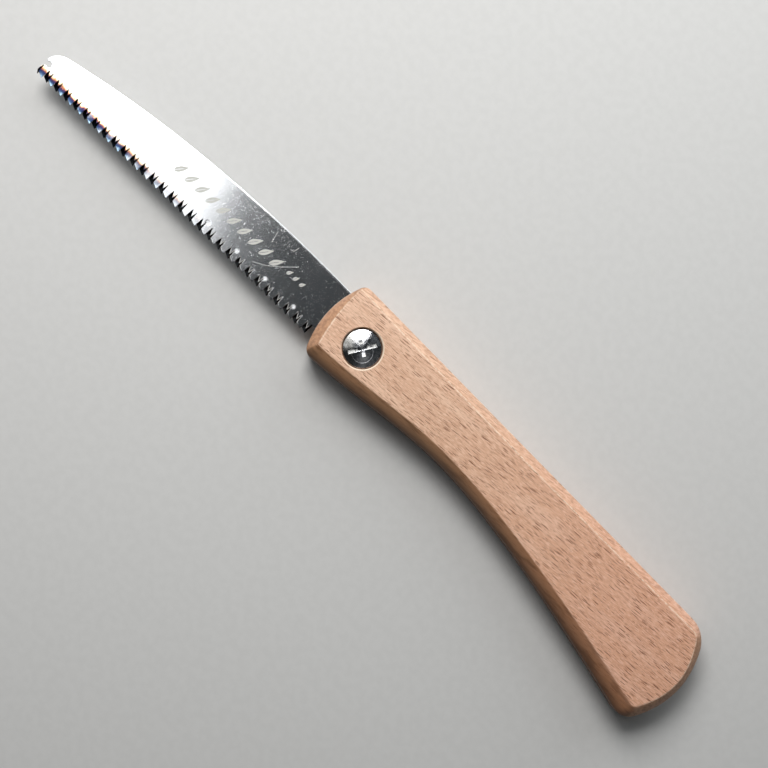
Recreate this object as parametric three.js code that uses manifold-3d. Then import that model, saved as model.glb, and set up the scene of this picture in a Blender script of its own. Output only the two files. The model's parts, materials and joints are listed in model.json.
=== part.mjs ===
// A folding pruning saw, lying open on its side. All sizes are in millimetres.
//
// X runs along the saw, from the nose of the blade (-X) to the butt of the handle (+X).
// Y runs across it, from the teeth and the open side of the slot (-Y) to the spine and the back (+Y).
// Z is the thickness, from the side that lies on the bench (0) upwards.
// Every outline is drawn about the pivot; the last lines put the origin under the saw's middle.

import * as THREE from 'three';
import { mergeVertices } from 'three/addons/utils/BufferGeometryUtils.js';
import Module from 'manifold-3d';

const wasm = await Module();
wasm.setup();

// ---- Driving dimensions ----

const PIVOT_X = -7.1; // the pivot's place, from the middle of the saw's box
const PIVOT_Y = 6.8;

const THICKNESS = 21; // handle, over both flat sides
const MIDDLE = THICKNESS / 2; // mid-plane of the blade and of the slot
const CHAMFER_DEPTH = 5.4; // from a flat side down to the straight edge wall
const CHAMFER_BULGE = 0.1; // how far the chamfer bellies out, as a share of its depth
const CHAMFER_STEPS = 3;

const SLOT_WIDTH = 2.4;
const SLOT_FLOOR = 15.2; // the spine of the open blade stops against it
const SLOT_FLOOR_REAR = 8.4; // the floor rises towards the belly at the rear
const SLOT_REACH = 192; // the slot's end wall, an arc about the pivot

const BLADE_THICKNESS = 1.2;
const SPINE_FLAT = 14.9; // the tang's back edge, just clear of the slot's floor
const NOSE_X = -190.4;
const NOTCH = { x: -188.2, y: -6.8, r: 1.4 }; // round notch in the nose

const TOOTH_COUNT = 57;
const TOOTH_PITCH = 2.958;
const FIRST_TIP_X = -189.2;
const ROOT_AT_NOSE = -8.5; // the gullets are a little shallower at the nose than at the heel
const ROOT_AT_HEEL = -7.5;
// A tooth is filed to a bevel, so it is broad on one side of the blade and narrow on the other.
const BROAD = { back: -3.2, corner: [-3.0, -3.6], tip: [0, -4.95], front: 0.4 };
const NARROW = { back: -2.5, corner: [-1.35, -2.4], tip: [-0.93, -3.2], front: -0.3 };

const HEAD_RADIUS = 8.7;
const HEAD_RIM = 1.5; // height of the head's straight rim
const HEAD_DOME = 1.0; // rise of the dome above the rim
const HEAD_SINK = 2.7; // depth of the counterbores in the handle
const COUNTERBORE_RADIUS = 9.1;
const SLEEVE_RADIUS = 4;
const SLEEVE_BORE = 3.05;
const SHANK_RADIUS = 2.95;
const PIVOT_HOLE = 4.09; // in the blade, a running fit on the sleeve
const HANDLE_HOLE = 4.2;
const RECESS = { length: 13, across: 7.2, width: 1.7, depth: 0.8, turn: THREE.MathUtils.degToRad(58) };

const WASHER = { inner: 4.2, outer: 9, thickness: 0.4 };
const SEGMENTS = 48;

// ---- Materials ----

const beech = new THREE.MeshStandardMaterial({ color: 0xc99872, roughness: 0.6, metalness: 0 });
const bladeSteel = new THREE.MeshStandardMaterial({ color: 0xb4b8bc, roughness: 0.2, metalness: 1 });
const plating = new THREE.MeshStandardMaterial({ color: 0xc8c9cc, roughness: 0.22, metalness: 1 });
const nylon = new THREE.MeshStandardMaterial({ color: 0xe6e3d8, roughness: 0.5, metalness: 0 });

// ---- Helpers ----

const point = (x, y) => new THREE.Vector2(x, y);

function toSolid(geometry) {
  const bare = geometry.clone();
  bare.deleteAttribute('normal');
  bare.deleteAttribute('uv');
  const merged = mergeVertices(bare, 1e-4);
  return new wasm.Manifold(new wasm.Mesh({
    numProp: 3,
    vertProperties: new Float32Array(merged.attributes.position.array),
    triVerts: new Uint32Array(merged.index.array),
  }));
}

function toGeometry(solid) {
  const mesh = solid.getMesh();
  const geometry = new THREE.BufferGeometry();
  geometry.setAttribute('position', new THREE.BufferAttribute(new Float32Array(mesh.vertProperties), 3));
  geometry.setIndex(new THREE.BufferAttribute(new Uint32Array(mesh.triVerts), 1));
  geometry.computeVertexNormals();
  return geometry;
}

function cylinder(radius, from, to) {
  const geometry = new THREE.CylinderGeometry(radius, radius, to - from, SEGMENTS);
  geometry.rotateX(Math.PI / 2);
  geometry.translate(0, 0, (from + to) / 2);
  return geometry;
}

function plate(outline, from, to) {
  const settings = { depth: to - from, bevelEnabled: false };
  const geometry = new THREE.ExtrudeGeometry(new THREE.Shape(outline), settings);
  geometry.translate(0, 0, from);
  return geometry;
}

// A closed body through rings of equally many points, listed from the lowest ring up.
// Each ring is { z, points }, its points counterclockwise seen from above.
function loft(rings) {
  const count = rings[0].points.length;
  const positions = rings.flatMap(({ z, points }) => points.flatMap((p) => [p.x, p.y, z]));
  const index = [];
  for (let ring = 0; ring + 1 < rings.length; ring += 1) {
    for (let i = 0; i < count; i += 1) {
      const low = ring * count + i;
      const lowNext = ring * count + ((i + 1) % count);
      index.push(low, lowNext, lowNext + count, low, lowNext + count, low + count);
    }
  }
  const top = (rings.length - 1) * count;
  const bottomFaces = THREE.ShapeUtils.triangulateShape(rings[0].points, []);
  const topFaces = THREE.ShapeUtils.triangulateShape(rings[rings.length - 1].points, []);
  bottomFaces.forEach(([a, b, c]) => index.push(a, c, b));
  topFaces.forEach(([a, b, c]) => index.push(top + a, top + b, top + c));
  const geometry = new THREE.BufferGeometry();
  geometry.setAttribute('position', new THREE.Float32BufferAttribute(positions, 3));
  geometry.setIndex(index);
  geometry.computeVertexNormals();
  return geometry;
}

// Joins sides into one counterclockwise outline. Each side is a curve that runs from one corner to the
// next; trim is how much of the two sides a rounded corner takes away, in millimetres.
function roundedOutline(sides, roundSteps) {
  const outline = [];
  sides.forEach((side, i) => {
    const next = sides[(i + 1) % sides.length];
    const length = side.curve.getLength();
    const start = side.trim / length;
    const end = 1 - next.trim / length;
    for (let k = 0; k <= side.steps; k += 1) {
      outline.push(side.curve.getPoint(start + ((end - start) * k) / side.steps));
    }
    const leave = next.curve.getPoint(next.trim / next.curve.getLength());
    const corner = new THREE.QuadraticBezierCurve(outline[outline.length - 1], next.curve.getPoint(0), leave);
    for (let k = 1; k < roundSteps; k += 1) {
      outline.push(corner.getPoint(k / roundSteps));
    }
  });
  return outline;
}

// ---- Handle ----

// The belly runs from the front corner back to its waist, and from there down to the butt.
function bellyCurve(front, frontPull, waist, rearPull, rear) {
  const belly = new THREE.CurvePath();
  const level = point(waist.x - frontPull, waist.y);
  const lead = point(front.x + frontPull, front.y + 0.2);
  belly.add(new THREE.CubicBezierCurve(front, lead, level, waist));
  belly.add(new THREE.QuadraticBezierCurve(waist, point(rearPull, waist.y), rear));
  return belly;
}

// The widest outline of the handle, at the straight edge wall.
function outerOutline() {
  const frontLow = point(-17.3, -18.3);
  const frontHigh = point(-18.3, 21.7);
  const rearHigh = point(195.2, 17.55);
  const rearLow = point(195.2, -36.4);
  return roundedOutline([
    { curve: bellyCurve(frontLow, 25, point(58, -12.3), 99, rearLow), trim: 3, steps: 30 },
    { curve: new THREE.QuadraticBezierCurve(rearLow, point(214, -9.4), rearHigh), trim: 6, steps: 12 },
    { curve: new THREE.LineCurve(rearHigh, frontHigh), trim: 8, steps: 8 },
    { curve: new THREE.QuadraticBezierCurve(frontHigh, point(-27, 1.7), frontLow), trim: 3, steps: 8 },
  ], 5);
}

// The outline of each flat side, where the chamfer ends.
function faceOutline() {
  const frontLow = point(-14.9, -12.1);
  const frontHigh = point(-18.7, 18.4);
  const rearHigh = point(192.3, 13.4);
  const rearLow = point(193.8, -28.7);
  return roundedOutline([
    { curve: bellyCurve(frontLow, 24, point(56, -7.2), 100, rearLow), trim: 1.2, steps: 30 },
    { curve: new THREE.QuadraticBezierCurve(rearLow, point(207.8, -7.6), rearHigh), trim: 1.5, steps: 12 },
    { curve: new THREE.QuadraticBezierCurve(rearHigh, point(60, 14.3), frontHigh), trim: 2, steps: 8 },
    { curve: new THREE.QuadraticBezierCurve(frontHigh, point(-19, 3.2), frontLow), trim: 1.2, steps: 8 },
  ], 5);
}

function handleBlank() {
  const outer = outerOutline();
  const face = faceOutline();
  const upper = [];
  for (let k = 0; k <= CHAMFER_STEPS; k += 1) {
    const inward = k / CHAMFER_STEPS;
    const rise = inward + CHAMFER_BULGE * 4 * inward * (1 - inward);
    upper.push({
      z: THICKNESS - CHAMFER_DEPTH * (1 - rise),
      points: outer.map((p, i) => p.clone().lerp(face[i], inward)),
    });
  }
  const lower = upper.map(({ z, points }) => ({ z: THICKNESS - z, points })).reverse();
  return loft([...lower, ...upper]);
}

// The saw cut that takes the blade: open at the front and along the belly.
function slotCutter() {
  const beyond = 60;
  const floorEnd = Math.asin(SLOT_FLOOR_REAR / SLOT_REACH);
  const bellyEnd = -Math.asin(beyond / SLOT_REACH);
  const outline = new THREE.Shape();
  outline.moveTo(-beyond, -beyond);
  outline.lineTo(SLOT_REACH * Math.cos(bellyEnd), -beyond);
  outline.absarc(0, 0, SLOT_REACH, bellyEnd, floorEnd, false);
  outline.lineTo(10, SLOT_FLOOR);
  outline.lineTo(-beyond, SLOT_FLOOR);
  const points = outline.getPoints(SEGMENTS / 2);
  return plate(points, MIDDLE - SLOT_WIDTH / 2, MIDDLE + SLOT_WIDTH / 2);
}

function handleGeometry() {
  const cutters = [
    slotCutter(),
    cylinder(HANDLE_HOLE, -1, THICKNESS + 1),
    cylinder(COUNTERBORE_RADIUS, -1, HEAD_SINK),
    cylinder(COUNTERBORE_RADIUS, THICKNESS - HEAD_SINK, THICKNESS + 1),
  ];
  const carved = cutters.reduce((solid, cutter) => solid.subtract(toSolid(cutter)), toSolid(handleBlank()));
  return toGeometry(carved);
}

// ---- Blade ----

// The teeth as one side of the blade shows them, from the nose to the heel. Broad and narrow teeth
// alternate, and a tooth that is broad on the upper side is narrow on the lower side.
function toothLine(firstForm, secondForm) {
  const line = [];
  for (let i = 0; i < TOOTH_COUNT; i += 1) {
    const form = i % 2 === 0 ? firstForm : secondForm;
    const x = FIRST_TIP_X + i * TOOTH_PITCH;
    const root = THREE.MathUtils.lerp(ROOT_AT_NOSE, ROOT_AT_HEEL, i / (TOOTH_COUNT - 1));
    if (i > 0) {
      line.push(point(x + form.back, root), point(x + form.corner[0], root + form.corner[1]));
    }
    line.push(point(x + form.tip[0], root + form.tip[1]), point(x + form.front, root));
  }
  return line;
}

// The round end of the blade about the pivot, from the heel up to the spine.
function tangOutline() {
  const centreY = 2;
  const radius = SPINE_FLAT - centreY;
  const tang = new THREE.Path();
  tang.absarc(0, centreY, radius, THREE.MathUtils.degToRad(-115), Math.PI / 2, false);
  return [point(-15, ROOT_AT_HEEL - 0.6), ...tang.getPoints(16)];
}

function spineOutline() {
  const corners = [point(-22, 15), point(-75, 16.6), point(-135, 12.9), point(-185.3, 0.6)];
  return new THREE.CubicBezierCurve(...corners).getPoints(18);
}

// From the end of the spine round the nose, then about the notch to the first tooth.
function noseOutline() {
  const nose = new THREE.QuadraticBezierCurve(point(-185.3, 0.6), point(-189.6, -1.1), point(NOSE_X, -5.4));
  const notch = new THREE.Path();
  notch.absarc(NOTCH.x, NOTCH.y, NOTCH.r, Math.PI * 0.8, -Math.PI * 0.75, true);
  return [...nose.getPoints(5).slice(1), ...notch.getPoints(7), point(-190.1, -8.9)];
}

function bladeOutline(firstForm, secondForm) {
  return [...toothLine(firstForm, secondForm), ...tangOutline(), ...spineOutline(), ...noseOutline()];
}

function bladeGeometry() {
  const low = MIDDLE - BLADE_THICKNESS / 2;
  const high = MIDDLE + BLADE_THICKNESS / 2;
  const body = toSolid(loft([
    { z: low, points: bladeOutline(BROAD, NARROW) },
    { z: high, points: bladeOutline(NARROW, BROAD) },
  ]));
  return toGeometry(body.subtract(toSolid(cylinder(PIVOT_HOLE, low - 1, high + 1))));
}

// ---- Pivot ----

// A low domed head on a stem, standing on its head's underside at zero with the stem running down.
function headedStem(stemRadius, stemLength) {
  const profile = [point(0, -stemLength), point(stemRadius, -stemLength), point(stemRadius, 0)];
  profile.push(point(HEAD_RADIUS - 0.2, 0), point(HEAD_RADIUS, 0.2), point(HEAD_RADIUS, HEAD_RIM - 0.3));
  const domeSteps = 6;
  for (let k = 0; k <= domeSteps; k += 1) {
    const share = k / domeSteps;
    profile.push(point((HEAD_RADIUS - 0.3) * (1 - share), HEAD_RIM + HEAD_DOME * (1 - (1 - share) ** 2)));
  }
  const geometry = new THREE.LatheGeometry(profile, SEGMENTS);
  geometry.rotateX(Math.PI / 2);
  return geometry;
}

// The driver recess: a long slot with a shorter one across it.
function recessCutter() {
  const top = HEAD_RIM + HEAD_DOME;
  const height = 2 * RECESS.depth;
  const slot = new THREE.BoxGeometry(RECESS.length, RECESS.width, height);
  const cross = new THREE.BoxGeometry(RECESS.width, RECESS.across, height);
  slot.translate(0, 0, top);
  cross.translate(0, 0, top);
  return toSolid(slot).add(toSolid(cross));
}

function screwGeometry() {
  const stemLength = THICKNESS - 2 * HEAD_SINK - 2;
  return toGeometry(toSolid(headedStem(SHANK_RADIUS, stemLength)).subtract(recessCutter()));
}

function barrelGeometry() {
  const stemLength = THICKNESS - 2 * HEAD_SINK - 1.2;
  const bore = cylinder(SLEEVE_BORE, -stemLength - 1, -0.1);
  const nut = toSolid(headedStem(SLEEVE_RADIUS, stemLength));
  return toGeometry(nut.subtract(recessCutter()).subtract(toSolid(bore)));
}

function washerGeometry() {
  const { inner, outer, thickness } = WASHER;
  const corners = [[inner, 0], [outer, 0], [outer, thickness], [inner, thickness], [inner, 0]];
  const profile = corners.map(([radius, height]) => point(radius, height));
  const geometry = new THREE.LatheGeometry(profile, SEGMENTS);
  geometry.rotateX(Math.PI / 2);
  return geometry;
}

// ---- Assembly ----

const saw = new THREE.Group();
saw.position.set(PIVOT_X, PIVOT_Y, 0);

function addPart(name, geometry, material) {
  const mesh = new THREE.Mesh(geometry, material);
  mesh.name = name;
  saw.add(mesh);
  return mesh;
}

const headSeat = HEAD_SINK - 0.1; // depth of a head's underside below the handle's flat side
const washerGap = (SLOT_WIDTH - BLADE_THICKNESS - 2 * WASHER.thickness) / 4;

addPart('handle', handleGeometry(), beech);
addPart('blade', bladeGeometry(), bladeSteel);

const screw = addPart('pivot_screw', screwGeometry(), plating);
screw.position.z = THICKNESS - headSeat;
screw.rotation.z = RECESS.turn;

const barrel = addPart('barrel_nut', barrelGeometry(), plating);
barrel.position.z = headSeat;
barrel.rotation.set(Math.PI, 0, -0.35);

const upperWasher = addPart('thrust_washer_upper', washerGeometry(), nylon);
upperWasher.position.z = MIDDLE + BLADE_THICKNESS / 2 + washerGap;
const lowerWasher = addPart('thrust_washer_lower', washerGeometry(), nylon);
lowerWasher.position.z = MIDDLE - BLADE_THICKNESS / 2 - washerGap - WASHER.thickness;

export default saw;
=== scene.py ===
"""A folding pruning saw, open and lying on its side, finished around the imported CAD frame.

Outlines are in millimetres about the pivot, as the CAD draws them, and become metres in place_mesh().
X runs from the blade's nose (-X) to the handle's butt (+X), Y from the teeth to the spine, Z is up.
"""

import json
import math

import bpy
from mathutils import Matrix, Vector


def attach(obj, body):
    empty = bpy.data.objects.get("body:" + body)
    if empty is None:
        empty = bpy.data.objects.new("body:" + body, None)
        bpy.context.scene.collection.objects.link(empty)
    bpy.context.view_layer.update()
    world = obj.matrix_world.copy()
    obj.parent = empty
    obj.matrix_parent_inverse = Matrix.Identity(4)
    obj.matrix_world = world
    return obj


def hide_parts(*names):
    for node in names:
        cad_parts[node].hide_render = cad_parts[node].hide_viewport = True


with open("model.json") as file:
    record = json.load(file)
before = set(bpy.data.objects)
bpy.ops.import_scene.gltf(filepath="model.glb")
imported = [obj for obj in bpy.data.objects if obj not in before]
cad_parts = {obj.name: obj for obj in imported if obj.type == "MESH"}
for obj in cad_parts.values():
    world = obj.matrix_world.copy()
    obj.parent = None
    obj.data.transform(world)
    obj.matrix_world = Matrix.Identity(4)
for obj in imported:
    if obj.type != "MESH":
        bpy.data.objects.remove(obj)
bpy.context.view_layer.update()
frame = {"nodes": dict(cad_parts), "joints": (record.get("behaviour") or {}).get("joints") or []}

MM = 0.001
PIVOT = Vector(frame["joints"][0]["pos_m"])

# ---- Handle, mm ----
THICKNESS = 21.0
MIDDLE = THICKNESS / 2
CHAMFER_DEPTH = 5.4
CHAMFER_BULGE = 0.1  # how far the middle of the chamfer stands out, as a share of its depth
CHAMFER_STEPS = 6
FACE_ROUND = 0.5  # how far the rounded edge of a flat side reaches in
WALL_ROUND = 0.5
ROUND_STEPS = 4
SLOT_WIDTH = 2.4
SLOT_FLOOR = 15.2
SLOT_FLOOR_REAR = 8.4
SLOT_REACH = 192.0
COUNTERBORE_RADIUS = 9.1
COUNTERBORE_FLARE = 0.45  # the broken edge round the counterbore
HEAD_SINK = 2.7
HANDLE_HOLE = 4.2
HANDLE_SHARP = math.radians(32)
WALL_HALF = MIDDLE - CHAMFER_DEPTH  # half the height of the straight edge wall

# ---- Blade, mm ----
BLADE_THICKNESS = 1.2
SPINE_FLAT = 14.9
NOSE_X = -190.4
NOTCH_X, NOTCH_Y, NOTCH_RADIUS = -188.2, -6.8, 1.4
TOOTH_COUNT = 57
TOOTH_PITCH = 2.958
FIRST_TIP_X = -189.2
ROOT_AT_NOSE = -8.5
ROOT_AT_HEEL = -7.5
BROAD = {"back": -3.2, "corner": (-3.0, -3.6), "tip": (0.0, -4.95), "front": 0.4}
NARROW = {"back": -2.5, "corner": (-1.35, -2.4), "tip": (-0.93, -3.2), "front": -0.3}
PIVOT_HOLE = 4.09
BLADE_SHARP = math.radians(20)
FLAT_NORMAL = 0.9999  # a face this level is one of the flat sides

# ---- Screw and nut, mm ----
HEAD_RADIUS = 8.7
HEAD_RIM = 1.5
HEAD_DOME = 1.0
HEAD_ROUND = 0.3
SLEEVE_RADIUS = 4.0
SLEEVE_BORE = 3.05
SHANK_RADIUS = 2.95
RECESS_LENGTH = 13.0
RECESS_ACROSS = 7.2
RECESS_WIDTH = 1.7
RECESS_DEPTH = 0.8
SCREW_TURN = math.radians(58)
NUT_TURN = 0.35
LATHE_STEPS = 128
DOME_STEPS = 24
BORE_STEPS = 64
HEAD_GAP = 0.1  # between a head's underside and the floor of its counterbore
HEAD_TOP = MIDDLE - HEAD_SINK + HEAD_GAP + HEAD_RIM + HEAD_DOME  # above the middle of the handle
SOFTEN_WIDTH = 0.09
SOFTEN_ANGLE = math.radians(40)
HEAD_SHARP = math.radians(35)


# ---- Curves ----

LENGTH_STEPS = 200
JOIN_STEPS = 400


def quadratic(a, b, c):
    a, b, c = Vector(a), Vector(b), Vector(c)
    return lambda t: a * (1 - t) ** 2 + b * 2 * t * (1 - t) + c * t * t


def cubic(a, b, c, d):
    a, b, c, d = Vector(a), Vector(b), Vector(c), Vector(d)
    return lambda t: (
        a * (1 - t) ** 3 + b * 3 * t * (1 - t) ** 2 + c * 3 * t * t * (1 - t) + d * t**3
    )


def straight(a, b):
    return lambda t: Vector(a).lerp(Vector(b), t)


def samples(curve, steps):
    return [curve(k / steps) for k in range(steps + 1)]


def curve_length(curve):
    line = samples(curve, LENGTH_STEPS)
    return sum((b - a).length for a, b in zip(line, line[1:]))


def joined(*curves):
    """Curves end to end as one, evenly by length."""
    line = [curves[0](0)]
    for curve in curves:
        line += samples(curve, JOIN_STEPS)[1:]
    reach = [0.0]
    for a, b in zip(line, line[1:]):
        reach.append(reach[-1] + (b - a).length)

    def at(t):
        goal = t * reach[-1]
        low, high = 0, len(reach) - 1
        while high - low > 1:
            middle = (low + high) // 2
            if reach[middle] <= goal:
                low = middle
            else:
                high = middle
        share = (goal - reach[low]) / (reach[high] - reach[low])
        return line[low].lerp(line[high], share)

    return at


def arc(centre, radius, start, end, steps):
    turn = (end - start) / steps
    return [
        Vector((
            centre[0] + radius * math.cos(start + turn * k),
            centre[1] + radius * math.sin(start + turn * k),
        ))
        for k in range(steps + 1)
    ]


def rounded_outline(sides, round_steps):
    """One counterclockwise outline from sides (curve, trim, steps). Trim is what a rounded corner takes."""
    outline = []
    for i, (curve, trim, steps) in enumerate(sides):
        following, next_trim, _ = sides[(i + 1) % len(sides)]
        length = curve_length(curve)
        start, end = trim / length, 1 - next_trim / length
        for k in range(steps + 1):
            outline.append(curve(start + (end - start) * k / steps))
        leave = following(next_trim / curve_length(following))
        corner = quadratic(outline[-1], following(0), leave)
        outline += [corner(k / round_steps) for k in range(1, round_steps)]
    return outline


def inward(points, distances):
    """The outline moved in by a distance for each point. The points are counterclockwise."""
    moved = []
    count = len(points)
    for i, p in enumerate(points):
        before = (p - points[i - 1]).normalized()
        after = (points[(i + 1) % count] - p).normalized()
        first = Vector((-before.y, before.x))
        second = Vector((-after.y, after.x))
        reach = max(1 + first.dot(second), 0.2)
        moved.append(p + (first + second) * (distances[i] / reach))
    return moved


# ---- Meshes ----


def place_mesh(name, verts, faces, material):
    """A new object from millimetres about the pivot, standing on the floor plane."""
    mesh = bpy.data.meshes.new(name)
    mesh.from_pydata([to_row(v) for v in verts], [], faces)
    mesh.validate()
    mesh.update()
    mesh.materials.append(material)
    for polygon in mesh.polygons:
        polygon.use_smooth = len(polygon.vertices) <= 4
    item = bpy.data.objects.new(name, mesh)
    bpy.context.scene.collection.objects.link(item)
    return item


def to_row(v):
    """Millimetres about the pivot, with Z from the floor, as metres in the frame of the CAD."""
    return (v[0] * MM + PIVOT.x, v[1] * MM + PIVOT.y, v[2] * MM)


def loft(rings):
    """Vertices and faces of a closed body through rings (z, points), from the lowest up."""
    count = len(rings[0][1])
    verts = [(p.x, p.y, z) for z, points in rings for p in points]
    faces = []
    for ring in range(len(rings) - 1):
        low, high = ring * count, (ring + 1) * count
        for i in range(count):
            j = (i + 1) % count
            faces.append((low + i, low + j, high + j, high + i))
    faces.append(tuple(reversed(range(count))))
    top = (len(rings) - 1) * count
    faces.append(tuple(top + i for i in range(count)))
    return verts, faces


def lathe(profile):
    """Vertices and faces of a body turned about Z. The profile's first and last points are on the axis."""
    steps = LATHE_STEPS
    verts = [(0.0, 0.0, profile[0][1])]
    for radius, z in profile[1:-1]:
        for k in range(steps):
            turn = 2 * math.pi * k / steps
            verts.append((radius * math.cos(turn), radius * math.sin(turn), z))
    verts.append((0.0, 0.0, profile[-1][1]))
    last = len(verts) - 1
    rings = len(profile) - 2
    faces = []
    for k in range(steps):
        j = (k + 1) % steps
        faces.append((0, 1 + j, 1 + k))
        for ring in range(rings - 1):
            low, high = 1 + ring * steps, 1 + (ring + 1) * steps
            faces.append((low + k, low + j, high + j, high + k))
        top = 1 + (rings - 1) * steps
        faces.append((top + k, top + j, last))
    return verts, faces


def box_body(length, width, low, high):
    x, y = length / 2, width / 2
    corners = [Vector((-x, -y)), Vector((x, -y)), Vector((x, y)), Vector((-x, y))]
    return loft([(low, corners), (high, corners)])


def turned(body, matrix):
    verts, faces = body
    return [tuple(matrix @ Vector(v)) for v in verts], faces


def mirrored_rings(rings):
    """Rings of the upper half, from the middle up, with their mirror image below."""
    below = [(THICKNESS - z, points) for z, points in rings]
    return below[::-1] + rings


def apply_modifiers(item):
    graph = bpy.context.evaluated_depsgraph_get()
    mesh = bpy.data.meshes.new_from_object(item.evaluated_get(graph), depsgraph=graph)
    item.modifiers.clear()
    item.data = mesh
    mesh.name = item.name


def cut(item, bodies):
    """Takes the bodies out of the item."""
    cutters = []
    for i, (verts, faces) in enumerate(bodies):
        cutter = place_mesh(f"cutter_{i}", verts, faces, item.data.materials[0])
        cutter.hide_render = True
        modifier = item.modifiers.new(f"cut_{i}", "BOOLEAN")
        modifier.object = cutter
        modifier.operation = "DIFFERENCE"
        modifier.solver = "EXACT"
        cutters.append(cutter)
    apply_modifiers(item)
    for cutter in cutters:
        mesh = cutter.data
        bpy.data.objects.remove(cutter)
        bpy.data.meshes.remove(mesh)


def soften(item):
    """A narrow rounded edge wherever two faces meet at more than SOFTEN_ANGLE."""
    modifier = item.modifiers.new("soften", "BEVEL")
    modifier.width = SOFTEN_WIDTH * MM
    modifier.segments = 2
    modifier.limit_method = "ANGLE"
    modifier.angle_limit = SOFTEN_ANGLE
    modifier.miter_outer = "MITER_ARC"
    modifier.use_clamp_overlap = True
    apply_modifiers(item)


# ---- Materials ----


class Graph:
    """Builds a material's nodes. Its methods return output sockets."""

    def __init__(self, name):
        self.material = bpy.data.materials.new(name)
        self.material.use_nodes = True
        self.tree = self.material.node_tree
        self.shader = self.tree.nodes["Principled BSDF"]

    def feed(self, socket, value):
        if isinstance(value, bpy.types.NodeSocket):
            self.tree.links.new(value, socket)
        else:
            socket.default_value = value

    def node(self, kind, inputs=(), **settings):
        node = self.tree.nodes.new(kind)
        for name, value in settings.items():
            setattr(node, name, value)
        for key, value in inputs:
            self.feed(node.inputs[key], value)
        return node

    def math(self, operation, *values):
        node = self.node("ShaderNodeMath", enumerate(values), operation=operation)
        return node.outputs[0]

    def vector(self, operation, *values):
        node = self.node("ShaderNodeVectorMath", enumerate(values), operation=operation)
        return node.outputs["Value" if operation in ("LENGTH", "DOT_PRODUCT") else "Vector"]

    def scaled(self, vector, factor):
        inputs = [("Vector", vector), ("Scale", factor)]
        return self.node("ShaderNodeVectorMath", inputs, operation="SCALE").outputs["Vector"]

    def ease(self, value, low, high):
        """0 at low, 1 at high, smooth between. Low may be the larger."""
        inputs = [("Value", value), ("From Min", low), ("From Max", high)]
        node = self.node("ShaderNodeMapRange", inputs, interpolation_type="SMOOTHSTEP")
        return node.outputs["Result"]

    def spread(self, value, low, high):
        """Maps 0 to 1 onto low to high."""
        inputs = [("Value", value), ("To Min", low), ("To Max", high)]
        return self.node("ShaderNodeMapRange", inputs).outputs["Result"]

    def blend(self, factor, first, second, mode="MIX"):
        node = self.node("ShaderNodeMix", data_type="RGBA", blend_type=mode)
        for index, value in ((0, factor), (6, first), (7, second)):
            self.feed(node.inputs[index], value)
        return node.outputs[2]

    def ramp(self, value, stops):
        node = self.node("ShaderNodeValToRGB", [("Fac", value)])
        elements = node.color_ramp.elements
        while len(elements) < len(stops):
            elements.new(0.5)
        for element, (place, colour) in zip(elements, stops):
            element.position = place
            element.color = (*colour, 1)
        return node.outputs["Color"]

    def split(self, vector):
        node = self.node("ShaderNodeSeparateXYZ", [(0, vector)])
        return node.outputs[0], node.outputs[1], node.outputs[2]

    def join(self, x, y, z=0.0):
        return self.node("ShaderNodeCombineXYZ", [(0, x), (1, y), (2, z)]).outputs[0]

    def millimetres(self, turn=0.0):
        """The place on the object in mm about the pivot, turned about Z by a number of degrees."""
        place = self.node("ShaderNodeTexCoord").outputs["Object"]
        moved = self.vector("SUBTRACT", place, tuple(PIVOT))
        inputs = [
            ("Vector", moved),
            ("Rotation", (0, 0, math.radians(turn))),
            ("Scale", (1 / MM,) * 3),
        ]
        return self.node("ShaderNodeMapping", inputs, vector_type="POINT").outputs["Vector"]

    def noise(self, vector, sizes, detail=2.0, roughness=0.5):
        """Noise whose features are about that many mm long on each axis."""
        fitted = self.vector("MULTIPLY", vector, tuple(1 / size for size in sizes))
        inputs = [
            ("Vector", fitted),
            ("Scale", 1.0),
            ("Detail", detail),
            ("Roughness", roughness),
        ]
        return self.node("ShaderNodeTexNoise", inputs).outputs[0]

    def cells(self, vector, sizes, dimensions="3D"):
        """Distance to, and random colour of, the nearest point of a scattered set."""
        fitted = self.vector("MULTIPLY", vector, tuple(1 / size for size in sizes))
        inputs = [("Vector", fitted), ("Scale", 1.0)]
        node = self.node("ShaderNodeTexVoronoi", inputs, voronoi_dimensions=dimensions)
        return node.outputs["Distance"], node.outputs["Color"]

    def direction(self, vector):
        """A direction fixed to the object, in world space."""
        node = self.node("ShaderNodeVectorTransform", [(0, vector)], vector_type="VECTOR")
        node.convert_from, node.convert_to = "OBJECT", "WORLD"
        return node.outputs[0]

    def bump(self, height, distance, normal=None):
        """Distance is the height's full range in mm."""
        inputs = [("Strength", 1.0), ("Distance", distance * MM), ("Height", height)]
        if normal is not None:
            inputs.append(("Normal", normal))
        return self.node("ShaderNodeBump", inputs).outputs["Normal"]

    def finish(self, **values):
        for name, value in values.items():
            self.feed(self.shader.inputs[name.replace("_", " ")], value)
        return self.material


GRAIN_TURN = -4.5  # the grain runs a little off the saw's length
FLECK_SIZE = (14.0, 0.98, 1.0)
SMALL_FLECK_SIZE = (8.6, 0.68, 1.0)
WOOD_LIGHT = (0.87, 0.60, 0.438, 1)
WOOD_BASE = (0.72, 0.442, 0.298, 1)
WOOD_REAR = (0.72, 0.435, 0.277, 1)
WOOD_DARK = (0.44, 0.24, 0.15, 1)
# Painted shade: the belly is darkened towards these colours.
WOOD_BELLY_SHADE = (0.37, 0.185, 0.085, 1)
WOOD_SHADE = (0.06, 0.028, 0.012, 1)
REAR_TONE_AND_SHADE = (1.03, 0.93, 0.95, 1)
FLECK_COLOUR = (0.16, 0.046, 0.014, 1)
END_GRAIN = (0.56, 0.31, 0.18, 1)
END_GRAIN_DARK = (0.36, 0.18, 0.10, 1)
EDGE_HIGHLIGHT_AND_FIBRE = (0.90, 0.74, 0.58, 1)
SLOT_WOOD = (0.33, 0.19, 0.105, 1)
SPLINTERS = [((49.7, -14.8), (53.6, -13.7)), ((63.5, -13.6), (67.1, -13.8))]


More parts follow.
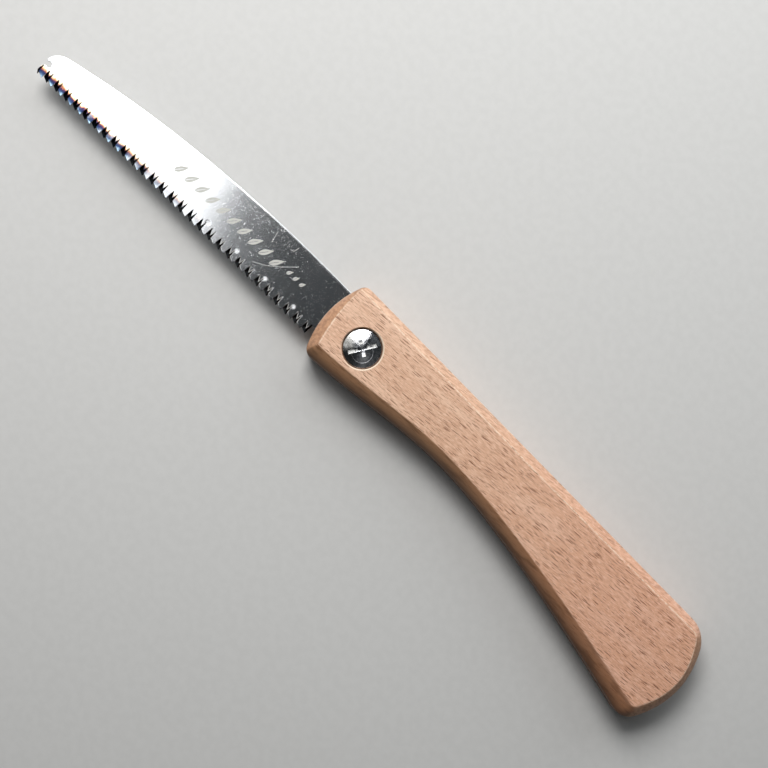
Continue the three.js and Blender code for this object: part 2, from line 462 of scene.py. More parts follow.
def hairline(g, place, start, end, width):
    """A straight line between two points, seen along Z."""
    a, b = Vector((*start, 0)), Vector((*end, 0))
    along = (b - a).normalized()
    flat = g.vector("MULTIPLY", place, (1, 1, 0))
    moved = g.vector("SUBTRACT", flat, tuple(a))
    share = g.vector("DOT_PRODUCT", moved, tuple(along))
    held = g.math("MINIMUM", g.math("MAXIMUM", share, 0.0), (b - a).length)
    nearest = g.scaled(g.join(*along), held)
    reach = g.vector("LENGTH", g.vector("SUBTRACT", moved, nearest))
    return g.ease(reach, width, width * 0.4)


def fleck_mask(g, flat, sizes, half_length, strength):
    """Short strokes along the grain, each with its own length and depth of colour."""
    distance, chance = g.cells(flat, sizes, "2D")
    red, green, _ = g.split(chance)
    inside = g.math("DIVIDE", distance, g.spread(red, *half_length))
    return g.math("MULTIPLY", g.ease(inside, 1.0, 0.7), g.spread(green, *strength))


def beech():
    g = Graph("beech")
    place = g.millimetres(GRAIN_TURN)
    wander = g.noise(place, (40, 9, 9), detail=1)
    x, y, z = g.split(place)
    across = g.math("ADD", y, g.math("MULTIPLY", z, 0.35))
    across = g.math("ADD", across, g.math("MULTIPLY", wander, 1.6))
    flat = g.join(x, across)
    nx, ny, nz = g.split(g.node("ShaderNodeTexCoord").outputs["Normal"])

    # The ground: bands, fibres and fine streaks along the grain, then painted shade on the belly, which
    # faces away from the light: darker in patches and deepest towards its lower edge.
    broad = g.noise(place, (60, 5, 7), detail=2)
    fibre = g.noise(flat, (14, 0.65, 1), detail=3, roughness=0.6)
    fine = g.noise(flat, (3.2, 0.42, 1), detail=2, roughness=0.65)
    speckle = g.noise(flat, (0.8, 0.35, 1), detail=2)
    ground = g.blend(g.ease(x, 40.0, 170.0), WOOD_BASE, WOOD_REAR)
    colour = g.blend(g.math("MULTIPLY", g.ease(broad, 0.4, 0.7), 0.5), ground, WOOD_LIGHT)
    colour = g.blend(g.math("MULTIPLY", g.ease(fibre, 0.46, 0.72), 0.7), colour, WOOD_DARK)
    colour = g.blend(g.math("MULTIPLY", g.ease(fine, 0.50, 0.64), 0.7), colour, WOOD_LIGHT)
    colour = g.blend(g.math("MULTIPLY", g.ease(fine, 0.46, 0.32), 0.55), colour, WOOD_DARK)
    colour = g.blend(g.math("MULTIPLY", g.ease(speckle, 0.52, 0.8), 0.22), colour, WOOD_DARK)
    # Painted shade: faces turned to the belly are darkened, in patches along the grain.
    belly = g.ease(ny, -0.25, -0.55)
    colour = g.blend(g.math("MULTIPLY", belly, 0.85), colour, WOOD_BELLY_SHADE)
    belly_patches = g.ease(g.noise(place, (16, 3, 3), detail=3), 0.46, 0.66)
    colour = g.blend(g.math("MULTIPLY", g.math("MULTIPLY", belly, belly_patches), 0.4), colour, WOOD_SHADE)
    # Painted shade, deepest towards the belly's lower edge.
    low = g.math("MULTIPLY", belly, g.ease(z, 9.5, 5.0))
    colour = g.blend(g.math("MULTIPLY", low, 0.75), colour, WOOD_SHADE)
    # Redder and darker towards the butt: partly the wood's own tone, partly painted shade where the light
    # falls off.
    colour = g.blend(g.ease(x, 30.0, 180.0), colour, REAR_TONE_AND_SHADE, "MULTIPLY")

    strong = fleck_mask(g, flat, FLECK_SIZE, (0.05, 0.2), (0.6, 1.0))
    weak = fleck_mask(g, flat, SMALL_FLECK_SIZE, (0.05, 0.22), (0.1, 0.95))
    flecks = g.math("MAXIMUM", strong, weak)

    # End grain at the front and the butt, and the flecks, which are weaker on it.
    from_bore = g.vector("LENGTH", g.join(x, y))
    end = g.math("MULTIPLY", g.ease(g.math("ABSOLUTE", nx), 0.38, 0.6), g.ease(from_bore, 11.0, 12.0))
    blotch = g.noise(place, (1.6, 1.4, 2.2), detail=4, roughness=0.65)
    end_colour = g.blend(g.ease(blotch, 0.38, 0.66), END_GRAIN, END_GRAIN_DARK)
    colour = g.blend(g.math("MULTIPLY", end, 0.85), colour, end_colour)
    flecks = g.math("MULTIPLY", flecks, g.spread(end, 1.0, 0.3))
    flecks = g.math("MULTIPLY", flecks, g.spread(g.ease(nz, 0.7, 0.95), 0.4, 1.0))
    colour = g.blend(flecks, colour, FLECK_COLOUR)

    # Painted highlights along the lit edges of the face and of the wall, broken up by noise, a painted
    # highlight on the lit side of the counterbore's rim, and the pale splinters.
    depth = g.math("ABSOLUTE", z)
    edge_breakup = g.noise(place, (1.3, 1.3, 1.3), detail=3, roughness=0.7)
    wall_edge = g.ease(g.math("ABSOLUTE", g.math("SUBTRACT", depth, WALL_HALF)), 0.5, 0.12)
    face_edge = g.math("MULTIPLY", g.ease(depth, 10.05, 10.3), g.ease(nz, 0.995, 0.97))
    # Painted highlights on the lit edges; none on the belly, which faces away from the light.
    edges = g.math("MULTIPLY", g.math("MAXIMUM", wall_edge, face_edge), g.ease(ny, -0.35, -0.05))
    edges = g.math("MULTIPLY", g.math("MULTIPLY", edges, g.ease(edge_breakup, 0.38, 0.58)), 0.6)
    # Painted highlight on the lit side of the counterbore's rim.
    bore_rim_highlight = g.math("MULTIPLY", g.ease(from_bore, 9.9, 9.5), g.ease(depth, 9.6, 10.0))
    bore_rim_highlight = g.math("MULTIPLY", bore_rim_highlight, g.ease(x, -5.0, 4.0))
    colour = g.blend(g.math("MAXIMUM", edges, bore_rim_highlight), colour, EDGE_HIGHLIGHT_AND_FIBRE)
    for start, stop in SPLINTERS:
        colour = g.blend(hairline(g, g.millimetres(), start, stop, 0.3), colour, EDGE_HIGHLIGHT_AND_FIBRE)

    # The sawn sides of the slot.
    in_slot = g.math("MULTIPLY", g.ease(depth, 1.5, 1.3), g.ease(g.math("ABSOLUTE", nz), 0.8, 0.95))
    saw_marks = g.noise(place, (1.1, 40, 40), detail=2)
    slot_colour = g.blend(g.ease(saw_marks, 0.35, 0.65), SLOT_WOOD, WOOD_DARK)
    colour = g.blend(in_slot, colour, slot_colour)

    relief = g.math("MULTIPLY", fibre, 0.5)
    relief = g.math("ADD", relief, g.math("MULTIPLY", fine, 0.3))
    relief = g.math("SUBTRACT", relief, g.math("MULTIPLY", flecks, 0.6))
    relief = g.math("ADD", relief, g.math("MULTIPLY", g.math("MULTIPLY", saw_marks, in_slot), 3.0))
    return g.finish(
        Base_Color=colour,
        Roughness=g.spread(fibre, 0.45, 0.62),
        IOR=1.45,
        Normal=g.bump(relief, 0.06),
    )


STEEL = (0.63, 0.645, 0.665, 1)
ETCHED = (0.50, 0.50, 0.47, 1)
BEVEL_DARK_REFLECTION = (0.05, 0.042, 0.042, 1)
EDGE_GLINT = (0.85, 0.83, 0.80, 1)
TINT_DEPTH = 5.4  # the tints' band, from just above the gullets to the tips
TOOTH_TINTS = [
    (0.00, (0.63, 0.645, 0.665)),
    (0.17, (0.78, 0.71, 0.58)),
    (0.30, (0.60, 0.41, 0.25)),
    (0.39, (0.30, 0.12, 0.06)),
    (0.46, (0.07, 0.03, 0.06)),
    (0.58, (0.015, 0.02, 0.06)),
    (0.76, (0.03, 0.055, 0.12)),
    (0.93, (0.28, 0.40, 0.50)),
]
DIMPLE_X, DIMPLE_Y, DIMPLE_PITCH, DIMPLE_RADIUS = -35.3, -7.4, 17.7, 1.7
LEAVES = {"start": -117.0, "pitch": 6.6, "count": 10, "level": 1.4, "length": 3.8, "width": 1.2}
SMALL_LEAVES = {"start": -48.9, "pitch": 3.9, "count": 3, "level": 2.2, "length": 1.75, "width": 0.75}
LEAF_TURN = math.radians(52)
SCRATCHES = [
    ((-62.2, -5.9), (-56.9, -3.1)),
    ((-56.9, -3.1), (-51.6, 1.2)),
    ((-51.6, 1.2), (-46.0, 6.7)),
    ((-63.5, 11.5), (-62.3, 6.4)),
    ((-53.9, 9.9), (-52.3, 10.3)),
    ((-52.3, 10.3), (-51.8, 12.7)),
]


def leaf_mask(g, x, y, start, pitch, count, level, length, width):
    """An etched row of plain leaves along the blade."""
    along = g.math("DIVIDE", g.math("SUBTRACT", x, start), pitch)
    local = g.math("MULTIPLY", g.math("SUBTRACT", g.math("FRACT", along), 0.5), pitch)
    up = g.math("SUBTRACT", y, level)
    cos, sin = math.cos(LEAF_TURN), math.sin(LEAF_TURN)
    u = g.math("ADD", g.math("MULTIPLY", local, cos), g.math("MULTIPLY", up, sin))
    v = g.math("SUBTRACT", g.math("MULTIPLY", up, cos), g.math("MULTIPLY", local, sin))
    share = g.math("MINIMUM", g.math("DIVIDE", u, length), 1.0)
    taper = g.math("MULTIPLY", share, -0.5)
    edge = g.math("MULTIPLY", g.math("SUBTRACT", 1.0, g.math("MULTIPLY", share, share)), width)
    edge = g.math("ADD", edge, g.math("MULTIPLY", edge, taper))
    side = g.math("ABSOLUTE", v)
    leaf = g.ease(g.math("SUBTRACT", edge, side), -0.02, 0.12)
    rib = g.math("MAXIMUM", g.ease(side, 0.05, 0.17), g.ease(share, 0.2, 0.35))
    inside = g.math("MULTIPLY", g.math("GREATER_THAN", along, 0.0), g.math("LESS_THAN", along, float(count)))
    return g.math("MULTIPLY", g.math("MULTIPLY", leaf, rib), inside)


def circle_scratch(g, place, centre, radius, width):
    """A hairline along a circle."""
    flat = g.vector("MULTIPLY", place, (1, 1, 0))
    reach = g.vector("LENGTH", g.vector("SUBTRACT", flat, (*centre, 0)))
    return g.ease(g.math("ABSOLUTE", g.math("SUBTRACT", reach, radius)), width, width * 0.4)


def tooth_depth(g, x, y):
    """How far below the line of the gullets a place is, in mm."""
    slope = (ROOT_AT_HEEL - ROOT_AT_NOSE) / (TOOTH_PITCH * (TOOTH_COUNT - 1))
    line = g.math("MULTIPLY_ADD", g.math("SUBTRACT", x, FIRST_TIP_X), slope, ROOT_AT_NOSE)
    return g.math("SUBTRACT", line, y)


def blade_steel():
    g = Graph("blade_steel")
    place = g.millimetres()
    x, y, z = g.split(place)
    nz = g.math("ABSOLUTE", g.split(g.node("ShaderNodeTexCoord").outputs["Normal"])[2])

    # The colours that hardening leaves on the teeth.
    depth = tooth_depth(g, x, y)
    wobble = g.noise(place, (2.2, 2.2, 2.2), detail=2)
    heat = g.math("ADD", depth, g.spread(wobble, -0.8, 2.0))
    tint = g.ramp(g.math("DIVIDE", heat, TINT_DEPTH), TOOTH_TINTS)
    patch = g.noise(place, (7, 7, 7), detail=1)
    colour = g.blend(g.ease(g.math("ADD", x, g.spread(patch, -50, 50)), -90.0, -150.0), STEEL, tint)

    # Polishing lines and small pits.
    streak = g.noise(place, (45, 0.8, 5), detail=3, roughness=0.6)
    hair = g.noise(place, (12, 0.3, 5), detail=2, roughness=0.6)
    speck_distance, speck_chance = g.cells(place, (0.58, 0.46, 3.0))
    chosen = g.ease(g.split(speck_chance)[0], 0.4, 1.0)
    speck = g.math("MULTIPLY", g.ease(speck_distance, 0.45, 0.15), chosen)
    haze = g.noise(place, (5, 3, 5), detail=3)

    roughness = g.spread(hair, 0.085, 0.115)
    roughness = g.math("ADD", roughness, g.math("MULTIPLY", speck, g.spread(haze, 0.10, 0.24)))

    # Frosted: the etching and the scratches. Made pale as painted highlights: the rolled edges of the teeth,
    # a little of the spine's rolled edge, and the dents.
    etched = g.math("MAXIMUM", leaf_mask(g, x, y, **LEAVES), leaf_mask(g, x, y, **SMALL_LEAVES))
    for start, stop in SCRATCHES:
        scratch = g.math("MULTIPLY", hairline(g, place, start, stop, 0.2), 0.4)
        etched = g.math("MAXIMUM", etched, scratch)
    in_teeth = g.ease(depth, -0.4, 0.1)
    # Painted dark reflection: the tilted bevel faces of the teeth are made near black.
    bevel = g.math("MULTIPLY", in_teeth, g.ease(nz, 0.86, 0.74))
    # Painted highlight: the rolled edges of the teeth are made pale, only in the handle half, where the
    # steel mirrors dark.
    rolled = g.math("MULTIPLY", g.ease(nz, 0.992, 0.982), g.ease(nz, 0.88, 0.93))
    rolled = g.math("MULTIPLY", g.math("MULTIPLY", rolled, in_teeth), g.ease(x, -96.0, -80.0))
    # Painted highlight: the spine's rolled edge is made a little pale.
    spine_glint = g.math("MULTIPLY", g.ease(nz, 0.99995, 0.9998), g.ease(depth, -1.0, -4.0))
    frost_and_glint = g.math("MAXIMUM", g.math("MULTIPLY", etched, 0.9), g.math("MULTIPLY", rolled, 0.7))
    frost_and_glint = g.math("MAXIMUM", frost_and_glint, g.math("MULTIPLY", spine_glint, 0.12))
    colour = g.blend(bevel, colour, BEVEL_DARK_REFLECTION)
    colour = g.blend(etched, colour, ETCHED)
    colour = g.blend(rolled, colour, EDGE_GLINT)
    step = g.math("DIVIDE", g.math("SUBTRACT", x, DIMPLE_X), DIMPLE_PITCH)
    near = g.math("SUBTRACT", g.math("FRACT", g.math("ADD", step, 0.5)), 0.5)
    from_dimple = g.join(g.math("MULTIPLY", near, DIMPLE_PITCH), g.math("SUBTRACT", y, DIMPLE_Y))
    dimple = g.ease(g.vector("LENGTH", from_dimple), DIMPLE_RADIUS, 0.0)
    dimple = g.math("MULTIPLY", dimple, g.ease(x, -97.0, -94.0))
    # Painted glint: the dents are made pale and matt as well as hollow.
    frost_and_glint = g.math("MAXIMUM", frost_and_glint, g.math("MULTIPLY", dimple, 0.75))

    roughness = g.math("ADD", roughness, g.math("MULTIPLY", frost_and_glint, 0.4))
    relief = g.bump(streak, 0.004)
    relief = g.bump(hair, 0.0018, normal=relief)
    relief = g.bump(g.math("SUBTRACT", 1.0, dimple), 0.05, normal=relief)
    relief = g.bump(speck, 0.006, normal=relief)
    return g.finish(
        Base_Color=colour,
        Metallic=g.math("SUBTRACT", 1.0, frost_and_glint),
        Roughness=roughness,
        Anisotropic=0.75,
        Tangent=g.direction((1, 0, 0)),
        Normal=relief,
    )


PLATING = (0.72, 0.73, 0.76, 1)
PLATING_CLOUD = (0.22, 0.23, 0.26, 1)
PLATING_DARK_REFLECTION = (0.20, 0.19, 0.16, 1)
RECESS_HIGHLIGHT = (0.95, 0.95, 0.93, 1)
DARK_REFLECTION_SIDE = (-0.714, -0.70, 0.0)  # the head is painted darker towards this side of the pivot, a painted dark reflection
SCUFF = {"centre": (1.1, -1.15), "radius": 4.7, "width": 0.12}


def plated_steel():
    g = Graph("plated_steel")
    place = g.millimetres()
    x, y, z = g.split(place)
    reach = g.vector("LENGTH", g.join(x, y))
    rings = g.noise(g.join(reach, 0.0), (0.22, 1, 1), detail=3, roughness=0.7)
    cloud = g.noise(place, (1.8, 1.3, 1.8), detail=4, roughness=0.7)
    scuff = circle_scratch(g, place, **SCUFF)
    colour = g.blend(g.ease(cloud, 0.38, 0.66), PLATING, PLATING_CLOUD)
    share = g.math("DIVIDE", reach, HEAD_RADIUS - HEAD_ROUND)
    fall = g.math("MULTIPLY", g.math("MULTIPLY", share, share), HEAD_DOME)
    level = g.math("ADD", g.math("ABSOLUTE", z), fall)
    in_recess = g.math("MULTIPLY", g.ease(level, HEAD_TOP - 0.14, HEAD_TOP - 0.22), g.ease(reach, 7.0, 6.6))
    chatter = g.noise(place, (0.9, 0.9, 0.9), detail=3, roughness=0.7)
    # Painted highlight: the floor of the recess is made pale and matt, broken up by noise.
    recess_highlight = g.math("MULTIPLY", in_recess, g.ease(chatter, 0.42, 0.5))
    recess_highlight = g.math("MULTIPLY", recess_highlight, g.ease(reach, 1.6, 2.6))
    # Painted dark reflection: one side of the head is darkened.
    towards_dark_side = g.vector("DOT_PRODUCT", place, DARK_REFLECTION_SIDE)
    colour = g.blend(g.math("MULTIPLY", g.ease(towards_dark_side, 1.0, 5.5), 0.7), colour, PLATING_DARK_REFLECTION)
    colour = g.blend(recess_highlight, colour, RECESS_HIGHLIGHT)
    roughness = g.spread(cloud, 0.13, 0.19)
    roughness = g.math("ADD", roughness, g.math("MULTIPLY", scuff, 0.35))
    roughness = g.math("ADD", roughness, g.math("MULTIPLY", recess_highlight, 0.3))
    relief = g.bump(rings, 0.003)
    relief = g.bump(cloud, 0.04, normal=relief)
    tangent = g.node("ShaderNodeTangent", direction_type="RADIAL", axis="Z").outputs[0]
    return g.finish(
        Base_Color=colour,
        Metallic=g.math("SUBTRACT", 1.0, g.math("MULTIPLY", recess_highlight, 0.7)),
        Roughness=roughness,
        Anisotropic=1.0,
        Anisotropic_Rotation=0.25,
        Tangent=tangent,
        Normal=relief,
    )


NYLON = (0.80, 0.77, 0.69, 1)
NYLON_GRIME = (0.55, 0.50, 0.42, 1)


def washer_nylon():
    g = Graph("washer_nylon")
    place = g.millimetres()
    grime = g.noise(place, (3, 3, 3), detail=4, roughness=0.6)
    grain = g.noise(place, (0.3, 0.3, 0.3), detail=2)
    colour = g.blend(g.ease(grime, 0.4, 0.75), NYLON, NYLON_GRIME)
    return g.finish(
        Base_Color=colour,
        Roughness=g.spread(grime, 0.4, 0.6),
        Subsurface_Weight=0.1,
        Normal=g.bump(grain, 0.02),
    )


PAPER = (0.605, 0.605, 0.60, 1)
PAPER_LIGHT = (0.625, 0.625, 0.62, 1)


def floor_paper():
    g = Graph("floor_paper")
    place = g.node("ShaderNodeTexCoord").outputs["Object"]
    tooth = g.noise(place, (0.004, 0.004, 0.004), detail=3)
    colour = g.blend(g.ease(tooth, 0.3, 0.7), PAPER, PAPER_LIGHT)
    return g.finish(Base_Color=colour, Roughness=0.85)


# ---- Handle ----


def belly_curve(front, front_pull, waist, rear_pull, rear):
    lead = (front[0] + front_pull, front[1] + 0.2)
    level = (waist[0] - front_pull, waist[1])
    return joined(
        cubic(front, lead, level, waist),
        quadratic(waist, (rear_pull, waist[1]), rear),
    )


SIDE_STEPS = (150, 48, 60, 40)
CORNER_STEPS = 12


def outer_outline():
    front_low, front_high = (-17.3, -18.3), (-18.3, 21.7)
    rear_high, rear_low = (195.2, 17.55), (195.2, -36.4)
    return rounded_outline([
        (belly_curve(front_low, 25, (58, -12.3), 99, rear_low), 3, SIDE_STEPS[0]),
        (quadratic(rear_low, (214, -9.4), rear_high), 6, SIDE_STEPS[1]),
        (straight(rear_high, front_high), 8, SIDE_STEPS[2]),
        (quadratic(front_high, (-27, 1.7), front_low), 3, SIDE_STEPS[3]),
    ], CORNER_STEPS)


def face_outline():
    front_low, front_high = (-14.9, -12.1), (-18.7, 18.4)
    rear_high, rear_low = (192.3, 13.4), (193.8, -28.7)
    return rounded_outline([
        (belly_curve(front_low, 24, (56, -7.2), 100, rear_low), 1.2, SIDE_STEPS[0]),
        (quadratic(rear_low, (207.8, -7.6), rear_high), 1.5, SIDE_STEPS[1]),
        (quadratic(rear_high, (60, 14.3), front_high), 2, SIDE_STEPS[2]),
        (quadratic(front_high, (-19, 3.2), front_low), 1.2, SIDE_STEPS[3]),
    ], CORNER_STEPS)


def handle_rings():
    """The upper half, from the edge wall up over the chamfer to the flat side."""
    outer, face = outer_outline(), face_outline()
    wall_top = THICKNESS - CHAMFER_DEPTH
    inset = inward(face, [FACE_ROUND] * len(face))

    def on_chamfer(share):
        rise = share + CHAMFER_BULGE * 4 * share * (1 - share)
        points = [o.lerp(f, share) for o, f in zip(outer, face)]
        return wall_top + CHAMFER_DEPTH * rise, points

    def rounded(start, corner, end):
        """Rings along a quadratic curve through three rings, without its last one."""
        made = []
        for k in range(ROUND_STEPS):
            t = k / ROUND_STEPS
            weights = ((1 - t) ** 2, 2 * t * (1 - t), t * t)
            three = (start, corner, end)
            z = sum(w * ring[0] for w, ring in zip(weights, three))
            columns = zip(start[1], corner[1], end[1])
            points = [a * weights[0] + b * weights[1] + c * weights[2] for a, b, c in columns]
            made.append((z, points))
        return made

    low_share, high_share = 0.09, 0.91
    rings = rounded((wall_top - WALL_ROUND, outer), (wall_top, outer), on_chamfer(low_share))
    for k in range(CHAMFER_STEPS):
        rings.append(on_chamfer(low_share + (high_share - low_share) * k / CHAMFER_STEPS))
    rings += rounded(on_chamfer(high_share), (THICKNESS, face), (THICKNESS, inset))
    rings.append((THICKNESS, inset))
    return rings


def slot_body():
    beyond = 60.0
    floor_end = math.asin(SLOT_FLOOR_REAR / SLOT_REACH)
    belly_end = -math.asin(beyond / SLOT_REACH)
    outline = [Vector((-beyond, -beyond))]
    outline += arc((0, 0), SLOT_REACH, belly_end, floor_end, 48)
    outline += [Vector((10, SLOT_FLOOR)), Vector((-beyond, SLOT_FLOOR))]
    half = SLOT_WIDTH / 2
    return loft([(MIDDLE - half, outline), (MIDDLE + half, outline)])


def counterbore_body():
    """Both counterbores and the hole between them, as one turned body."""
    upper = [
        (HANDLE_HOLE, MIDDLE),
        (HANDLE_HOLE, THICKNESS - HEAD_SINK),
        (COUNTERBORE_RADIUS, THICKNESS - HEAD_SINK),
        (COUNTERBORE_RADIUS, THICKNESS - COUNTERBORE_FLARE),
        (COUNTERBORE_RADIUS + COUNTERBORE_FLARE + 1, THICKNESS + 1),
        (0, THICKNESS + 1),
    ]
    lower = [(radius, THICKNESS - z) for radius, z in upper[1:]]
    return lathe(lower[::-1] + upper)


def make_handle(material):
    verts, faces = loft(mirrored_rings(handle_rings()))
    handle = place_mesh("beech_handle", verts, faces, material)
    cut(handle, [slot_body(), counterbore_body()])
    handle.data.set_sharp_from_angle(angle=HANDLE_SHARP)
    return handle


# ---- Blade ----

TOOTH_ROLL = (0.08, 0.22)  # how far the rolled edge reaches in, in two steps
SPINE_ROLL = (0.15, 0.7)
ROLL_DROP = (0.10, 0.03)  # how far it falls at the edge and at the first step
NOSE_MARGIN = 4.0  # the spine's roll starts to grow this far behind the nose
NOSE_GROWTH = 14.0  # and is full this much further on
NOSE_SHARE = 0.15  # the least of it, at the nose


def tooth_line(first, second):
    line = []
    for i in range(TOOTH_COUNT):
        form = second if i % 2 else first
        x = FIRST_TIP_X + i * TOOTH_PITCH
        root = ROOT_AT_NOSE + (ROOT_AT_HEEL - ROOT_AT_NOSE) * i / (TOOTH_COUNT - 1)
        if i > 0:
            line.append(Vector((x + form["back"], root)))
            line.append(Vector((x + form["corner"][0], root + form["corner"][1])))
        line.append(Vector((x + form["tip"][0], root + form["tip"][1])))
        line.append(Vector((x + form["front"], root)))
    return line


def smooth_edge():
    """The blade's outline from the heel round the tang, along the spine and round the nose."""
    centre_y = 2.0
    line = [Vector((-15, ROOT_AT_HEEL - 0.6))]
    line += arc((0, centre_y), SPINE_FLAT - centre_y, math.radians(-115), math.pi / 2, 40)
    line += samples(cubic((-22, 15), (-75, 16.6), (-135, 12.9), (-185.3, 0.6)), 70)
    line += samples(quadratic((-185.3, 0.6), (-189.6, -1.1), (NOSE_X, -5.4)), 14)[1:]
    line += arc((NOTCH_X, NOTCH_Y), NOTCH_RADIUS, math.pi * 0.8, -math.pi * 0.75, 20)
    line.append(Vector((-190.1, -8.9)))
    return line


def make_blade(material):
    low, high = MIDDLE - BLADE_THICKNESS / 2, MIDDLE + BLADE_THICKNESS / 2
    edge = smooth_edge()
    below = tooth_line(BROAD, NARROW) + edge
    above = tooth_line(NARROW, BROAD) + edge
    teeth = len(below) - len(edge)
    grown = [(p.x - NOSE_X - NOSE_MARGIN) / NOSE_GROWTH for p in edge]
    shares = [min(1.0, max(NOSE_SHARE, share)) for share in grown]
    first = [TOOTH_ROLL[0]] * teeth + [SPINE_ROLL[0] * share for share in shares]
    second = [TOOTH_ROLL[1]] * teeth + [SPINE_ROLL[1] * share for share in shares]
    verts, faces = loft([
        (low, inward(below, second)),
        (low + ROLL_DROP[1], inward(below, first)),
        (low + ROLL_DROP[0], below),
        (high - ROLL_DROP[0], above),
        (high - ROLL_DROP[1], inward(above, first)),
        (high, inward(above, second)),
    ])
    blade = place_mesh("saw_blade", verts, faces, material)
    hole = [Vector(p) for p in arc((0, 0), PIVOT_HOLE, 0, 2 * math.pi, BORE_STEPS)[:-1]]
    cut(blade, [loft([(low - 1, hole), (high + 1, hole)])])
    blade.data.set_sharp_from_angle(angle=BLADE_SHARP)
    # Marking the sharp edges smooths every face, so the flat sides are made flat after it.
    for polygon in blade.data.polygons:
        polygon.use_smooth = abs(polygon.normal.z) < FLAT_NORMAL
    return blade


# ---- Screw and nut ----


def head_profile(stem_radius, stem_length):
    """From the stem's end up to the middle of the dome. The head's underside is at zero."""
    profile = [(0, -stem_length), (stem_radius - 0.3, -stem_length)]
    profile += [(stem_radius, 0.3 - stem_length), (stem_radius, 0)]
    profile += [(HEAD_RADIUS - 0.2, 0), (HEAD_RADIUS, 0.2)]
    shoulder = quadratic(
        (HEAD_RADIUS, HEAD_RIM - HEAD_ROUND),
        (HEAD_RADIUS - 0.05, HEAD_RIM - 0.05),
        (HEAD_RADIUS - HEAD_ROUND, HEAD_RIM),
    )
    profile += [tuple(p) for p in samples(shoulder, 5)]
    for k in range(1, DOME_STEPS + 1):
        share = 1 - k / DOME_STEPS
        radius = (HEAD_RADIUS - HEAD_ROUND) * share
        profile.append((radius, HEAD_RIM + HEAD_DOME * (1 - share**2)))
    return profile


def recess_bodies(place):
    top = HEAD_RIM + HEAD_DOME
    slot = box_body(RECESS_LENGTH, RECESS_WIDTH, top - RECESS_DEPTH, top + 1)
    cross = box_body(RECESS_WIDTH, RECESS_ACROSS, top - RECESS_DEPTH, top + 1)
    return [turned(slot, place), turned(cross, place)]


def make_screw(material):
    seat = Matrix.Translation((0, 0, THICKNESS - HEAD_SINK + HEAD_GAP))
    place = seat @ Matrix.Rotation(SCREW_TURN, 4, "Z")
    body = turned(lathe(head_profile(SHANK_RADIUS, THICKNESS - 2 * HEAD_SINK - 2)), place)
    screw = place_mesh("binding_screw", *body, material)
    cut(screw, recess_bodies(place))
    soften(screw)
    screw.data.set_sharp_from_angle(angle=HEAD_SHARP)
    return screw


def make_nut(material):
    place = (
        Matrix.Translation((0, 0, HEAD_SINK - HEAD_GAP))
        @ Matrix.Rotation(math.pi, 4, "X")
        @ Matrix.Rotation(-NUT_TURN, 4, "Z")
    )
    stem = THICKNESS - 2 * HEAD_SINK - 1.2
    nut = place_mesh("binding_nut", *turned(lathe(head_profile(SLEEVE_RADIUS, stem)), place), material)
    bore_ring = arc((0, 0), SLEEVE_BORE, 0, 2 * math.pi, BORE_STEPS)[:-1]
    bore = turned(loft([(-stem - 1, bore_ring), (-0.1, bore_ring)]), place)
    cut(nut, recess_bodies(place) + [bore])
    soften(nut)
    nut.data.set_sharp_from_angle(angle=HEAD_SHARP)
    return nut


# ---- Studio, metres ----

IMAGE_UP = Vector((-0.700, 0.714, 0.0))
LOOK_AT = Vector((0.0105, 0.0031, 0.0105))
CAMERA_TO = Vector((0.0, -0.0669, 0.99776))
CAMERA_DISTANCE = 0.593
CAMERA_LENS = 62.5
CEILING = 0.602  # the height of the overhead lights
BLADE_LIGHT_UP = (-0.33, 0.944, 0.0)  # along its near edge, which the blade shows as the end of the glare
SIDE_LIGHT_REACH = 0.95
WORLD_COLOUR = (0.88, 0.96, 1.0, 1)
WORLD_STRENGTH = 0.045
FLOOR_REACH = 4.0


def aim(item, place, target, up):
    back = (place - target).normalized()
    right = up.cross(back).normalized()
    above = back.cross(right)
    item.matrix_world = Matrix((
        (right.x, above.x, back.x, place.x),
        (right.y, above.y, back.y, place.y),
        (right.z, above.z, back.z, place.z),
        (0, 0, 0, 1),
    ))


def make_camera():
    data = bpy.data.cameras.new("camera")
    data.lens = CAMERA_LENS
    data.sensor_width = 36
    data.clip_start, data.clip_end = 0.01, 20
    camera = bpy.data.objects.new("camera", data)
    bpy.context.scene.collection.objects.link(camera)
    aim(camera, LOOK_AT + CAMERA_TO * CAMERA_DISTANCE, LOOK_AT, IMAGE_UP)
    bpy.context.scene.camera = camera


def soft_light(name, place, target, up, size, radiance, colour):
    """A rectangular light. Size is across and along up, in metres; radiance is what it looks like."""
    data = bpy.data.lights.new(name, "AREA")
    data.shape = "RECTANGLE"
    data.size, data.size_y = size
    data.energy = math.pi * size[0] * size[1] * radiance
    data.color = colour
    light = bpy.data.objects.new(name, data)
    bpy.context.scene.collection.objects.link(light)
    aim(light, Vector(place), Vector(target), Vector(up))


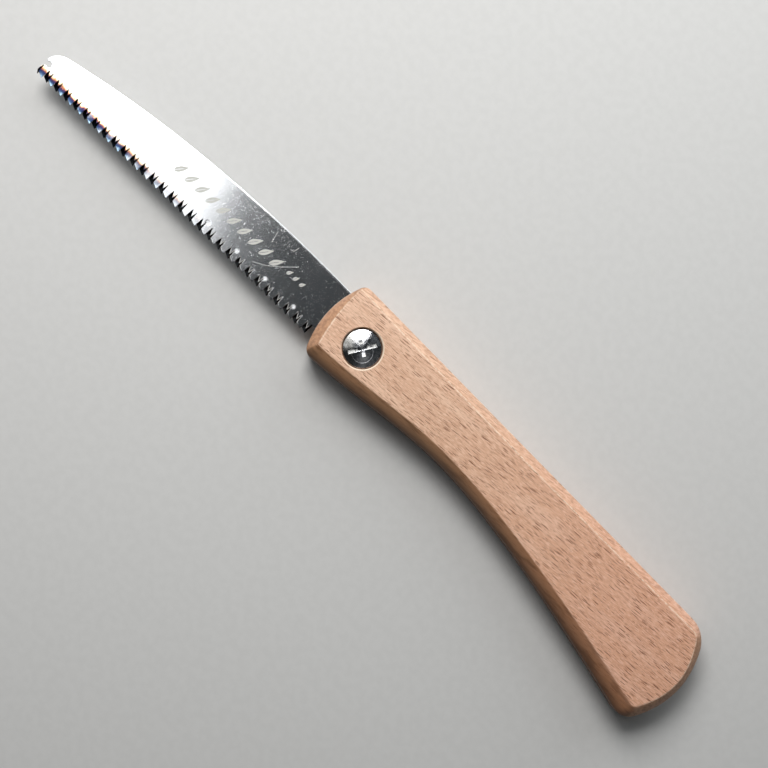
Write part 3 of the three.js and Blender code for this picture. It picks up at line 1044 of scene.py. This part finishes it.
def overhead_light(name, centre, up, size, radiance):
    """A soft light beside the camera, facing straight down, that polished steel mirrors."""
    place = (*centre, CEILING)
    below = (*centre, 0.0)
    soft_light(name, place, below, up, size, radiance, (1.0, 1.0, 1.0))


def side_light(name, azimuth, zenith, size, radiance, colour):
    """A soft light aimed at the saw. Azimuth is from +X towards +Y, zenith from +Z, in degrees."""
    turn, tilt = math.radians(azimuth), math.radians(zenith)
    away = Vector((math.sin(tilt) * math.cos(turn), math.sin(tilt) * math.sin(turn), math.cos(tilt)))
    soft_light(name, away * SIDE_LIGHT_REACH, (0, 0, 0), (0, 0, 1), size, radiance, colour)


def make_studio():
    overhead_light("blade_softbox", (-0.357, 0.002), BLADE_LIGHT_UP, (0.32, 0.30), 2.0)
    overhead_light("edge_softbox", (-0.181, 0.062), BLADE_LIGHT_UP, (0.05, 0.30), 0.10)
    side_light("key_softbox", 140, 38, (0.50, 0.55), 9.9, (1.0, 0.985, 0.96))
    side_light("side_softbox", 85, 62, (0.80, 0.50), 2.35, (0.94, 0.985, 1.0))
    world = bpy.data.worlds.new("studio")
    world.use_nodes = True
    background = world.node_tree.nodes["Background"]
    background.inputs["Color"].default_value = WORLD_COLOUR
    background.inputs["Strength"].default_value = WORLD_STRENGTH
    bpy.context.scene.world = world
    bpy.context.scene.view_settings.view_transform = "Standard"


def make_floor(material):
    mesh = bpy.data.meshes.new("floor")
    reach = FLOOR_REACH
    corners = [(-reach, -reach, 0), (reach, -reach, 0), (reach, reach, 0), (-reach, reach, 0)]
    mesh.from_pydata(corners, [], [(0, 1, 2, 3)])
    mesh.materials.append(material)
    floor = bpy.data.objects.new("floor", mesh)
    bpy.context.scene.collection.objects.link(floor)


# ---- Assembly ----


def stand_for(item, node, body):
    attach(item, body)
    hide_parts(node)


make_camera()
make_studio()
make_floor(floor_paper())

plating = plated_steel()
stand_for(make_handle(beech()), "handle", "handle")
stand_for(make_blade(blade_steel()), "blade", "blade")
stand_for(make_screw(plating), "pivot_screw", "handle")
stand_for(make_nut(plating), "barrel_nut", "handle")

nylon = washer_nylon()
for name in ("thrust_washer_upper", "thrust_washer_lower"):
    frame["nodes"][name].material_slots[0].material = nylon
